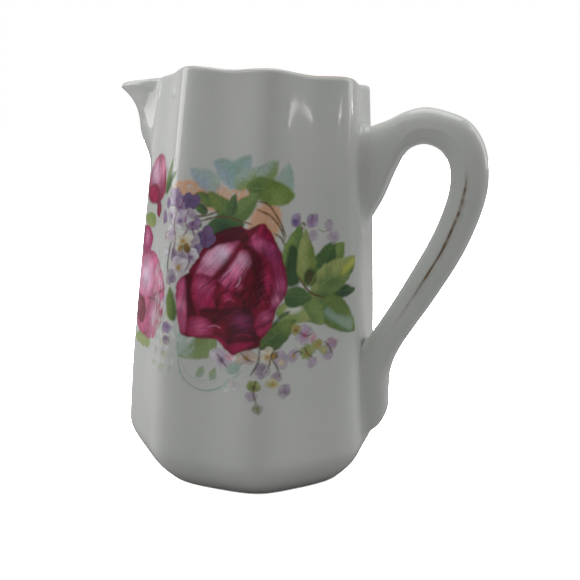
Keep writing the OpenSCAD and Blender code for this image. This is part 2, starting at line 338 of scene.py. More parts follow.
class Field:
    """One painted field: premultiplied colour and cover on a regular grid of u and v."""

    def __init__(self, u, v, seed):
        self.u, self.v, self.seed = u, v, seed
        self.colour = np.zeros((len(v), len(u), 3))
        self.cover = np.zeros((len(v), len(u)))
        self.rng = np.random.default_rng(seed)
        self.count = 0

    def window(self, lo, hi):
        a, b = np.searchsorted(self.u, (lo[0], hi[0]))
        c, d = np.searchsorted(self.v, (lo[1], hi[1]))
        return (slice(c, d), slice(a, b)), self.u[None, a:b], self.v[c:d, None]

    def lay(self, where, mask, colour):
        """Lay a colour over what is there already."""
        m = np.clip(mask, 0, 1)
        self.colour[where] = self.colour[where] * (1 - m[..., None]) + colour * m[..., None]
        self.cover[where] = self.cover[where] * (1 - m) + m

    def near(self, points, closed, reach):
        """Window round a line with each grid point's distance to it (negative inside)."""
        line = smooth_line(points, closed)
        where, u, v = self.window(line.min(0) - reach, line.max(0) + reach)
        start = line if closed else line[:-1]
        end = np.roll(line, -1, 0) if closed else line[1:]
        best = np.full(np.broadcast(u, v).shape, 1e9)
        place = np.zeros_like(best)
        inside = np.zeros(best.shape, bool)
        for k, (a, b) in enumerate(zip(start, end)):
            d = b - a
            size = max(d @ d, 1e-9)
            t = np.clip(((u - a[0]) * d[0] + (v - a[1]) * d[1]) / size, 0, 1)
            gap = (u - a[0] - t * d[0]) ** 2 + (v - a[1] - t * d[1]) ** 2
            place = np.where(gap < best, (k + t) / len(start), place)
            best = np.minimum(best, gap)
            if closed and a[1] != b[1]:
                crosses = (a[1] > v) != (b[1] > v)
                inside ^= crosses & (u < a[0] + (v - a[1]) * d[0] / d[1])
        best = np.sqrt(best)
        return where, u, v, np.where(inside, -best, best), place

    def streaks(self, u, v, angle, amount):
        """Brush streaks along an angle, as a factor round 1."""
        along, across = u * cosd(angle) + v * sind(angle), v * cosd(angle) - u * sind(angle)
        fine = value_noise(across * 8, along, 3.0, self.seed + 4)
        wide = value_noise(across * 3, along, 3.0, self.seed + 5)
        return 1 + amount * (fine + wide - 1)

    def area(self, points, colour, dark=None, glow=(), soft=0.35, strength=1.0, rough=0.3,
             streak=(0.0, 60.0)):
        """A closed patch. dark tints its rim, glow lists (colour, u, v, radius) of lit places and
        streak is the brush marks' (strength, angle)."""
        where, u, v, gap, _ = self.near(points, True, 1.6)
        gap = gap + rough * (value_noise(u, v, 1.3, self.seed + 1) - 0.5)
        mask = ease(0.5 - gap / (2 * soft)) * strength
        paint = np.broadcast_to(colour, gap.shape + (3,)).copy()
        if dark is not None:
            rim = np.exp(-np.clip(-gap, 0, None) / 0.8)[..., None]
            paint = mix(paint, dark, 0.8 * rim)
        for tint, gu, gv, radius in glow:
            lit = np.exp(-(((u - gu) ** 2 + (v - gv) ** 2) / radius ** 2))[..., None]
            paint = mix(paint, tint, 0.9 * lit)
        grain = value_noise(u, v, 0.4, self.seed + 2) - 0.5
        broad = value_noise(u, v, 2.6, self.seed + 3) - 0.5
        tone = (1 + 0.22 * grain + 0.45 * broad) * self.streaks(u, v, streak[1], streak[0])
        self.lay(where, mask, paint * np.clip(tone, 0.3, 2)[..., None])

    def leaf(self, base, tip, width, light, dark, bend=0.0, strength=1.0, soft=0.45):
        """A broad pointed leaf in washes: dark at its stalk and on one half, with veins."""
        b, t = np.asarray(base, float), np.asarray(tip, float)
        length = np.linalg.norm(t - b)
        axis = (t - b) / length
        where, u, v = self.window(np.minimum(b, t) - width - 1, np.maximum(b, t) + width + 1)
        along = ((u - b[0]) * axis[0] + (v - b[1]) * axis[1]) / length
        side = -(u - b[0]) * axis[1] + (v - b[1]) * axis[0]
        side = side - bend * length * along * (1 - along)
        safe = np.clip(along, 0, 1)
        reach = width * np.sin(np.pi * safe ** 0.75) ** 0.7 * (1 - 0.12 * safe)
        gap = np.maximum(np.abs(side) - reach, np.maximum(-along, along - 1) * length)
        self.count += 1
        seed = self.seed + 10 * self.count
        gap = gap + 0.5 * (value_noise(u, v, 1.2, seed) - 0.5)
        mask = ease(0.5 - gap / (2 * soft)) * strength
        broad = value_noise(u, v, 2.4, seed + 1) - 0.5
        shade = np.clip(0.55 * ease(0.5 + side / width) + 0.55 * safe + 0.8 * broad, 0, 1)
        paint = mix(np.asarray(dark), np.asarray(light), shade[..., None])
        vein = np.sin((along * length - np.abs(side) * 0.8) * 3.6 + 3 * broad)
        grain = value_noise(u, v, 0.4, self.seed + 6) - 0.5
        rim = np.exp(-np.clip(-gap, 0, None) / 0.3)
        tone = 1 + 0.035 * vein + 0.2 * grain - 0.12 * rim
        paint = paint * tone[..., None]
        middle = np.exp(-(side / 0.14) ** 2) * (safe < 0.85)
        paint = mix(paint, mix(np.asarray(light), 0.5, 0.15), (0.4 * middle)[..., None])
        self.lay(where, mask, paint)

    def stroke(self, points, width, colour, strength=1.0):
        """A brush stroke that thins towards both ends."""
        where, u, v, gap, place = self.near(points, False, width + 0.6)
        fade = np.clip(np.minimum(place, 1 - place) * 5, 0, 1) ** 0.5
        half = width / 2 * mix(0.3, 1, fade)
        broken = 0.65 + 0.5 * value_noise(u, v, 0.6, self.seed + 7)
        mask = ease(0.5 + (half - gap) / 0.36) * strength * np.clip(broken, 0, 1)
        self.lay(where, mask, colour)

    def petal(self, u0, v0, angle, length, width, colour, edge, strength=1.0):
        """One soft egg-shaped petal that starts at (u0, v0) and points along angle."""
        big = length + width
        where, u, v = self.window((u0 - big, v0 - big), (u0 + big, v0 + big))
        c, s = cosd(angle), sind(angle)
        x = ((u - u0) * c + (v - v0) * s) / length
        y = (-(u - u0) * s + (v - v0) * c) / width
        reach = np.sqrt(np.clip(1 - (2 * np.clip(x, 0, 1) ** 0.8 - 1) ** 2, 0, 1))
        gap = np.maximum(np.abs(y) - reach, np.maximum(-x, x - 1) * 3) * width
        gap = gap + 0.45 * (value_noise(u, v, 0.9, self.seed + 8) - 0.5)
        mask = ease(0.5 - gap / 0.7) * strength
        shade = np.clip(x + 0.5 * (value_noise(u, v, 0.9, self.seed + 9) - 0.5), 0, 1)
        paint = mix(np.asarray(colour), np.asarray(edge), shade[..., None])
        rim = np.exp(-np.clip(-gap, 0, None) / 0.22)
        paint = paint * (1 - 0.25 * rim)[..., None] * self.streaks(u, v, angle, 0.25)[..., None]
        self.lay(where, mask, paint)

    def blossom(self, u0, v0, size, colour, pale, heart=None, petals=5, strength=0.9):
        """A loose little flower: uneven soft petals round a heart that is off its middle."""
        start = self.rng.uniform(0, 360)
        for k in range(petals):
            angle = start + 360 * k / petals + self.rng.uniform(-16, 16)
            length = size * self.rng.uniform(0.8, 1.12)
            tint = self.rng.uniform(0, 0.6)
            self.petal(u0 - 0.12 * size * cosd(angle), v0 - 0.12 * size * sind(angle), angle,
                       length, size * self.rng.uniform(0.4, 0.52), mix(colour, pale, tint),
                       mix(colour, pale, min(1.0, tint + 0.5)), strength)
        if heart is not None:
            where, u, v = self.window((u0 - size, v0 - size), (u0 + size, v0 + size))
            eye = np.exp(-((u - u0) ** 2 + (v - v0 + 0.1 * size) ** 2) / (0.24 * size) ** 2)
            self.lay(where, eye, heart)

    def stipple(self, u0, v0, reach_u, reach_v, colour, amount=0.5, size=0.5, turn=0.0):
        """Printed dots over a faint wash inside a soft ellipse."""
        big = max(reach_u, reach_v) * 1.2
        where, u, v = self.window((u0 - big, v0 - big), (u0 + big, v0 + big))
        c, s = cosd(turn), sind(turn)
        x = ((u - u0) * c + (v - v0) * s) / reach_u
        y = (-(u - u0) * s + (v - v0) * c) / reach_v
        inside = np.clip(1.15 - x ** 2 - y ** 2, 0, 1)
        fine = value_noise(u, v, 0.3, self.seed + 13)
        dots = value_noise(u, v, size, self.seed + 12) * 0.7 + 0.3 * fine
        mask = ease((dots - 1 + amount) * 3) * ease(inside * 1.5)
        self.lay(where, 0.35 * amount * ease(inside), mix(np.asarray(colour), PAPER, 0.5))
        self.lay(where, mask * 0.75, colour)


PAPER = np.array((0.70, 0.70, 0.66))    # reflectance of the bare glaze
# The enamels, as they look on the jug
CRIMSON, DEEP, HEART = ink(90, 9, 31), ink(62, 4, 18), ink(40, 2, 11)
MAGENTA, RASPBERRY, ROSE = ink(116, 15, 53), ink(110, 26, 58), ink(140, 62, 94)
PINK, PALE, MAUVE = ink(162, 92, 121), ink(180, 124, 145), ink(112, 40, 76)
OLIVE, LIME, STRAW = ink(80, 95, 45), ink(92, 109, 60), ink(112, 120, 74)
GREEN, MOSS, PINE = ink(60, 83, 44), ink(44, 66, 37), ink(30, 52, 34)
TEAL, MIST, SLATE = ink(96, 120, 110), ink(116, 132, 122), ink(108, 124, 134)
PEACH, UMBER, GOLD = ink(158, 112, 78), ink(70, 54, 30), ink(126, 100, 46)
VIOLET, INDIGO, LILAC = ink(87, 66, 96), ink(63, 54, 88), ink(122, 106, 129)
CREAM, ASH, STEM = ink(152, 142, 110), ink(132, 127, 130), ink(62, 56, 36)
BLUSH, GRAPE, SNOW = ink(190, 142, 160), ink(80, 30, 58), ink(164, 160, 158)


def paint_back_leaves(f):
    """Leaves and haze that the flowers overlap."""
    f.stipple(-8.8, 79.2, 6.4, 3, PEACH, 0.8)
    f.stipple(-2, 77.8, 6, 3.8, PEACH, 0.85)
    f.stipple(7, 79.3, 4.4, 2.6, PEACH, 0.8)
    f.stipple(12.6, 72.2, 4.4, 6.6, PEACH, 0.95, turn=-20)
    f.leaf((-0.4, 80.6), (-9, 84.8), 2.6, SLATE, MIST, 0.2, 0.9, 0.8)
    f.leaf((5.4, 81.6), (-2.6, 87), 3.2, SLATE, TEAL, -0.2, 0.9, 0.8)
    f.leaf((3, 80.6), (8.2, 89), 3.2, TEAL, SLATE, 0.1, 0.9, 0.8)
    f.leaf((4, 80.8), (11, 86), 2.6, MIST, LIME, 0.1, 0.85, 0.7)
    f.leaf((15.8, 78.4), (18.6, 87.6), 3.0, MIST, TEAL, -0.2, 0.85, 0.8)
    f.leaf((10.6, 81.6), (15.4, 88), 2.6, MIST, LIME, 0.15, 0.9, 0.6)
    f.area([(7.4, 81.6), (10.6, 84), (15, 83), (18, 81.8), (20.6, 79.8), (18.6, 77.4), (14.4, 76.8),
            (11.4, 77.8), (8.6, 79.4)], OLIVE, LIME, [(GREEN, 10, 81.6, 2.6), (LIME, 16, 79, 2.4)],
           soft=0.5)
    f.stroke([(8, 81), (12, 80.8), (18.6, 79.4)], 0.35, LIME, 0.6)
    f.leaf((-1, 76), (-7, 78.6), 1.7, OLIVE, MOSS)
    f.leaf((-3.4, 73.8), (-7.6, 76.4), 1.3, GREEN, PINE)
    f.leaf((5, 73.6), (-3.4, 79), 2.7, OLIVE, GREEN, 0.2)
    f.leaf((4, 73), (10.4, 79.8), 2.7, LIME, GREEN, -0.15)
    f.leaf((3, 73.6), (4.6, 79.4), 1.6, GREEN, MOSS)
    f.area([(-4, 69), (-2, 72.4), (1, 74.2), (4.6, 73.8), (7.4, 71.6), (3, 68.6), (-1, 67.6)],
           MOSS, GREEN, [(PINE, 1, 70.6, 2.4)], soft=0.5)
    f.leaf((-5, 70.4), (-8.6, 72.6), 1.0, GREEN, MOSS)
    for line in ([(-8, 72.7), (-4, 73.2), (0, 74.6)], [(-6, 71.5), (1, 73.3), (9.5, 72)],
                 [(10.5, 75.8), (14, 74.3), (16.6, 71.4), (18, 68.3)],
                 [(10.5, 77.8), (13.4, 77), (16.4, 73), (18.4, 69)],
                 [(15, 70), (16.8, 69), (18, 67)]):
        f.stroke(line, 0.55, UMBER, 0.9)


def paint_right_leaves(f):
    f.leaf((28.4, 54.4), (40, 54.8), 2.3, MOSS, PINE, 0.05)
    f.leaf((28.4, 53.4), (40.2, 43.4), 4.3, OLIVE, GREEN, -0.05)
    f.area([(30, 49), (33, 46.6), (38, 44), (38.8, 47), (34, 48.6), (31.4, 50.4)], MIST, TEAL,
           soft=0.8, strength=0.6)
    f.leaf((30, 60), (35.8, 67.6), 3.3, LIME, GREEN, 0.1)
    f.leaf((26.4, 56.4), (32.8, 68), 3.7, GREEN, PINE, -0.1)
    f.leaf((26.4, 54.4), (41, 63.6), 4.2, STRAW, GREEN, 0.1)
    f.area([(35, 58.6), (38, 60.4), (40.2, 62.4), (39, 63.6), (35.6, 61.6)], ink(140, 138, 62),
           OLIVE, soft=0.7, strength=0.8)
    f.leaf((19.4, 56.6), (22.6, 72.6), 3.8, LIME, GREEN, 0.1)
    f.area([(18.6, 57), (22, 57), (23, 60), (21.8, 65.4), (19.6, 67), (18.4, 62)], MOSS, PINE,
           soft=0.7)
    f.leaf((24.8, 56.4), (24.2, 71.2), 3.1, STRAW, OLIVE, 0.03)
    f.area([(23.8, 57.6), (25.6, 56.4), (27.5, 57.4), (27.3, 60), (25.8, 61), (24.2, 60)],
           ink(56, 54, 30), MOSS, soft=0.6)
    f.leaf((24, 54.6), (29.8, 46), 3.6, LIME, GREEN, -0.15)
    f.leaf((16.2, 50.6), (26, 47.6), 3.0, STRAW, LIME, 0.2)
    f.area([(18.6, 50.4), (21, 51.8), (23.6, 50.8), (21.4, 49.6)], SNOW, soft=0.8, strength=0.7)
    f.leaf((18.2, 54), (26.4, 53.2), 2.9, GREEN, MOSS, 0.1)
    f.leaf((12.2, 41.4), (21.6, 47.8), 3.6, OLIVE, MOSS, 0.1)
    f.stroke([(15.2, 46.4), (17.4, 49), (20, 50.2)], 1.0, PINE, 0.8)
    f.stroke([(22.4, 58.8), (24.5, 56), (27, 54.2), (30.4, 53.2)], 0.6, UMBER)
    f.stroke([(24.6, 56.2), (26.4, 57.4), (27.4, 59.6)], 0.4, OLIVE)
    f.blossom(26.2, 73.2, 2.7, VIOLET, LILAC, petals=4, strength=0.7)
    f.blossom(26.4, 69.6, 2.0, LILAC, ASH, strength=0.6)
    f.blossom(20.9, 73.2, 2.3, INDIGO, LILAC, petals=4, strength=0.85)
    f.stipple(23, 72, 1.3, 1.1, UMBER, 0.7)
    f.blossom(31.4, 72.3, 2.0, ASH, LILAC, strength=0.6)
    f.blossom(32.4, 69.3, 2.4, LILAC, ASH, petals=4, strength=0.6)
    f.stroke([(28, 71), (30, 70.4), (31.4, 71)], 0.3, STEM, 0.6)


def paint_low_sprays(f):
    """Small pale blossoms and tendrils under the leaves and the rose."""
    f.leaf((1.2, 42.8), (-8.4, 36.6), 3.1, LIME, OLIVE, 0.2, 0.9, 0.6)
    f.stipple(-7, 40, 2.8, 4.4, MIST, 0.7, 0.8)
    f.stroke([(-9, 40.5), (-8.2, 34), (-6.6, 30.8), (-3, 28.7), (1, 29), (5, 31.5), (9, 35.4)],
             0.45, TEAL, 0.75)
    f.stroke([(-8, 36), (-6, 32.6), (-2, 31), (4, 33)], 0.3, MIST, 0.7)
    for u, v in ((-3.2, 31.6), (0.2, 31.4)):
        f.leaf((u, v), (u + 1.2, v + 3.4), 1.0, LIME, TEAL, 0, 0.75)
    f.leaf((5, 34), (8.4, 39.4), 1.9, MIST, TEAL, 0, 0.8)
    f.leaf((3.4, 29), (7.4, 33.4), 1.5, MIST, SNOW, 0, 0.6)
    for u, v, size, tone, pale, heart in (
            (24.6, 44, 3.3, LILAC, ASH, ROSE), (27, 42.6, 1.9, ROSE, SNOW, None),
            (21.8, 45.3, 1.9, GOLD, STRAW, UMBER), (25.4, 39.2, 2.9, OLIVE, STRAW, GOLD),
            (21.4, 38.8, 2.3, LILAC, ASH, GOLD), (27, 36.4, 2.0, LILAC, ASH, None),
            (28.4, 40.8, 1.9, GOLD, STRAW, None), (32.2, 40.8, 2.6, MAUVE, ASH, LILAC),
            (31.6, 38.4, 2.2, LILAC, ASH, None), (30, 39.4, 1.6, CREAM, STRAW, None),
            (3, 37.4, 3.9, LILAC, SNOW, VIOLET), (5.4, 38.6, 2.2, ROSE, SNOW, None),
            (9.4, 38.8, 3.2, LILAC, CREAM, GOLD), (14.4, 39.2, 2.7, CREAM, SNOW, GOLD),
            (13.2, 35.6, 2.5, VIOLET, ASH, None), (18, 37.6, 3.0, LILAC, ASH, CREAM),
            (17, 33.8, 1.7, VIOLET, ASH, None), (16, 39.2, 1.3, GOLD, UMBER, None),
            (11.6, 31.4, 2.2, OLIVE, STRAW, UMBER), (16, 32, 1.9, STRAW, CREAM, GOLD),
            (19, 29.8, 2.1, VIOLET, ASH, None), (11, 28.8, 1.8, LILAC, ASH, None),
            (12.4, 25.6, 1.6, OLIVE, ASH, None), (6.4, 31.4, 2.0, ASH, SNOW, None)):
        f.blossom(u, v, size, tone, pale, heart, strength=0.85)
    for line in ([(12.6, 41.5), (12.2, 37.4), (10.5, 34)], [(17, 42), (15.5, 39.5), (14.8, 36)],
                 [(15.5, 38.4), (16.8, 36.4), (17.8, 33.4)], [(12, 33), (11.4, 30), (12.2, 27)],
                 [(21.2, 39), (22.6, 39.6), (24.2, 39)], [(24.6, 40.4), (25.6, 38.6), (26.8, 37.6)],
                 [(23, 44.6), (24.8, 43.4), (26.6, 43.8)], [(30.4, 41.6), (31.8, 40), (32.6, 38)],
                 [(8, 39.6), (9.6, 38.2), (11, 37.8)], [(1.6, 38.6), (3, 37), (4.4, 35.4)]):
        f.stroke(line, 0.5, STEM, 0.75)


def paint_big_rose(f):
    f.area([(-10.4, 54), (-8, 58.2), (-5.6, 62.5), (-3, 67), (2, 70), (6, 71.3), (8.5, 70.8),
            (12, 72.6), (14, 70.5), (16, 67), (18, 62), (19, 56), (16.5, 51.5), (15.5, 47.5),
            (13, 44), (12, 41.5), (8, 40), (6, 38.6), (2.5, 41), (0, 42.2), (-7.8, 42.2),
            (-9.3, 47)], CRIMSON, DEEP, [(DEEP, 3, 69, 3), (MAGENTA, 4, 44, 4)], rough=0.5)
    # the rim petals, from the top round the right to the bottom
    f.area([(-4, 65.6), (0, 69.4), (6, 71), (8.6, 68.4), (5, 66), (0, 64.6)], DEEP, HEART,
           streak=(0.4, 20))
    f.area([(9.4, 68), (10.8, 71), (12.2, 72.4), (14.2, 70.2), (15, 67.4), (12, 66.4)], MAGENTA,
           CRIMSON, [(ROSE, 9.6, 68.8, 1.2)], streak=(0.5, 80))
    f.area([(8.6, 66.6), (10.6, 68.8), (15.4, 67.4), (17.8, 62), (18.8, 56), (16.4, 51.4),
            (14.2, 50.8), (14.6, 55), (14.4, 60), (12, 64.4)], MAUVE, CRIMSON,
           [(ROSE, 11.6, 67.2, 1.6), (RASPBERRY, 16, 61, 2.5), (PINK, 16, 53.6, 1.2),
            (ROSE, 16.6, 56.4, 1.6)], soft=0.7, streak=(0.6, 105))
    f.area([(10.4, 52), (14, 51.4), (15.6, 56), (15, 61), (12.6, 64.6), (10.2, 62)], CRIMSON,
           None, [(RASPBERRY, 13.6, 58, 2)], soft=1.0, streak=(0.9, 110))
    f.area([(7.4, 66.6), (10.2, 66), (12.8, 61), (12.8, 55), (11, 51), (8, 50.4), (7.6, 56),
            (7.4, 61)], DEEP, HEART, soft=0.8, streak=(0.7, 100))
    for k in range(8):
        v = 52.6 + 1.5 * k + 0.5 * (k * k % 3)
        f.stroke([(11.2 + 0.1 * k, v - 1.6), (12.8 + 0.08 * k, v), (14.8 - 0.05 * k, v + 0.6)], 0.3,
                 ROSE, 0.16)
    # the two pale petals, their dark backs and the folds between them
    f.area([(-6.4, 55), (-5, 60), (-2.8, 64.2), (1.6, 66.4), (6.4, 67.6), (5.6, 64.6), (3, 61),
            (0, 58.2), (-2.5, 55.8), (-5, 53.2)], ROSE, RASPBERRY,
           [(BLUSH, 1.4, 63.8, 2.6), (PALE, -1.6, 62, 2.6), (PINK, -3.8, 58.4, 2.2)], soft=0.5,
           streak=(0.4, 48))
    f.area([(-0.6, 57), (2.4, 60.6), (5.2, 64.4), (8.2, 65.6), (9.8, 62.8), (8.4, 58.8),
            (5.6, 55.6), (2, 54.6)], RASPBERRY, CRIMSON,
           [(PALE, 7.2, 62.8, 1.9), (PINK, 5.4, 60.4, 2.2), (ROSE, 2.6, 57.4, 1.8)], soft=0.5,
           streak=(0.8, 55))
    f.area([(-1.6, 56.2), (0.8, 57.4), (3.4, 60.2), (6, 64.2), (7.2, 67.4), (5.6, 66.4),
            (2.6, 62), (0, 59.4)], CRIMSON, DEEP, soft=0.5, strength=0.85, streak=(0.5, 50))
    f.area([(2, 53.6), (5, 54.6), (8, 58), (8.8, 61), (9.8, 58), (8.6, 54), (5.4, 52)], DEEP,
           CRIMSON, [(ROSE, 6.6, 56.4, 0.9)], soft=0.6, streak=(0.6, 50))
    # the middle and lower petals
    f.area([(-10.3, 54), (-9.2, 57.2), (-7.6, 56), (-7, 51), (-6.8, 46), (-7.6, 42.6), (-9.5, 46)],
           ROSE, RASPBERRY, [(PINK, -8.9, 50, 1.6)], soft=0.4, streak=(0.4, 85))
    f.area([(-8.2, 58.4), (-6.4, 57.6), (-6, 52), (-4.2, 46.5), (-5.4, 43.4), (-7, 47), (-7.6, 53)],
           DEEP, HEART, soft=0.6)
    f.area([(-6, 57.6), (-3, 58.4), (0.4, 57), (1.4, 53.5), (0, 50), (-3.6, 48.8), (-6, 52)],
           RASPBERRY, CRIMSON, [(ROSE, -3.4, 55.6, 1.7), (MAGENTA, -1.4, 51.6, 1.6)], soft=0.6,
           streak=(0.5, 70))
    f.area([(0.4, 56.4), (3.4, 55.2), (6.8, 53), (5.6, 49.8), (2, 49), (0, 51.8)], CRIMSON, DEEP,
           [(RASPBERRY, 3.6, 53.2, 1.4)], soft=0.6, streak=(0.6, 35))
    f.area([(-3.6, 49.2), (2, 50), (6, 51.2), (10, 50.4), (12.4, 46), (11.6, 41.8), (7, 40),
            (3, 42.2), (-1.8, 44.6)], DEEP, HEART, [(GRAPE, 8, 47.6, 2.6), (CRIMSON, 2.4, 45, 2)],
           soft=0.7, streak=(0.6, 25))
    f.area([(-6.4, 47), (-3, 47.6), (0.4, 45.8), (-0.4, 42.8), (-6.2, 42.4)], RASPBERRY, CRIMSON,
           [(ROSE, -3.4, 44.8, 1.8)], soft=0.5, streak=(0.5, 15))
    f.area([(12, 50.6), (15.6, 50.8), (15.2, 47), (12.8, 44), (11, 46.4)], RASPBERRY, CRIMSON,
           [(ROSE, 13.6, 49.2, 1.4)], soft=0.5, streak=(0.6, 35))
    f.area([(4.4, 41), (7.6, 42.4), (11.4, 42.6), (8.6, 40.2), (6.2, 38.9)], MAGENTA, DEEP,
           soft=0.5)
    for line, colour in (
            ([(-4.8, 54), (-2, 56.2), (0.6, 58.4), (3.2, 61.2), (5.6, 64.8), (6.9, 67.2)], HEART),
            ([(1.4, 53.6), (3.8, 55), (6.4, 57.6), (8.6, 61.6)], HEART),
            ([(-3.6, 48.6), (0, 49.6), (3.4, 48.8), (6.6, 50.8), (9.8, 50.4)], HEART),
            ([(0.6, 56.6), (1.6, 53.4), (0.8, 50.2), (2.4, 47.4)], HEART),
            ([(2, 58.2), (4.4, 60.6), (6.4, 63.6)], PALE),
            ([(3.8, 58), (6, 60.4), (7.9, 63.6)], PINK),
            ([(-1.4, 45), (0.6, 45.6), (2.2, 45.2)], PINK),
            ([(5.9, 56), (6.7, 57.2), (7, 58.8)], PALE),
            ([(3, 52.2), (4.4, 52.8), (5.6, 52.4)], ROSE),
            ([(-2.2, 52), (-1.2, 54.4), (0.4, 55.6)], ROSE),
            ([(4.4, 46.4), (7, 47.4), (9.4, 46.6)], RASPBERRY),
            ([(6, 43.6), (8.4, 44.4), (10.4, 44)], RASPBERRY)):
        f.stroke(line, 0.38, colour, 0.65)


def paint_violets(f):
    for u, v, size, tone, pale, heart in (
            (-12.8, 77.2, 3.1, VIOLET, LILAC, None), (-8.6, 76.4, 3.2, INDIGO, VIOLET, None),
            (-11, 74.4, 2.2, VIOLET, LILAC, None), (-3.6, 67.4, 3.6, INDIGO, VIOLET, None),
            (-5.8, 64.6, 2.2, INDIGO, LILAC, None), (-14, 72.6, 2.6, LILAC, SNOW, VIOLET),
            (-6.8, 71, 2.6, VIOLET, LILAC, None), (-8.2, 73, 2.2, VIOLET, SNOW, None),
            (-10.8, 71.6, 3.3, LILAC, SNOW, VIOLET), (-13.8, 67.6, 2.6, LILAC, SNOW, None),
            (-6.8, 67, 2.2, VIOLET, ASH, None), (-14, 63, 2.3, LILAC, SNOW, None),
            (-7, 62.6, 2.7, LILAC, SNOW, VIOLET), (-10.8, 62.6, 2.6, VIOLET, ASH, None),
            (-10.2, 59.8, 3.4, LILAC, SNOW, GOLD), (-9.6, 66.6, 3.5, CREAM, SNOW, GOLD)):
        f.blossom(u, v, size, tone, pale, heart, strength=1.0)
    f.petal(-8.8, 65.8, -70, 2.6, 0.9, GOLD, UMBER)
    f.petal(-9.6, 65.8, -110, 2.4, 0.8, CREAM, GOLD)
    for turn in (-35, -10, 20, 50):
        f.stroke([(-9.3 + 0.5 * sind(turn), 65.8 - 0.5 * cosd(turn)),
                  (-9.3 + 2.2 * sind(turn), 65.6 - 2.2 * cosd(turn))], 0.32, UMBER, 0.8)
    for line in ([(-8.4, 74.4), (-9.4, 72), (-8.6, 69.4), (-9.6, 67.6)],
                 [(-12, 74), (-12.6, 70), (-11.8, 66.6), (-12.6, 62)],
                 [(-6.6, 73.4), (-7.4, 70.4), (-6.4, 67.8)],
                 [(-8.2, 64), (-7.4, 61.4), (-8.4, 58.6)],
                 [(-12.6, 76), (-11, 74.6), (-10.2, 76.8)],
                 [(-4.6, 69.4), (-3.4, 67.2), (-3.8, 64.8)]):
        f.stroke(line, 0.42, GRAPE, 0.7)
    f.stroke([(-13.2, 66), (-13.9, 60), (-12.6, 55)], 0.5, STEM)
    f.leaf((-10.6, 45.4), (-12.4, 54.4), 1.7, OLIVE, MOSS, 0.1)
    f.blossom(-12.4, 56.6, 2.4, VIOLET, ASH, petals=4)
    f.blossom(-12.6, 43.6, 2.0, VIOLET, LILAC)
    f.blossom(-12.4, 40.4, 1.7, VIOLET, ASH)


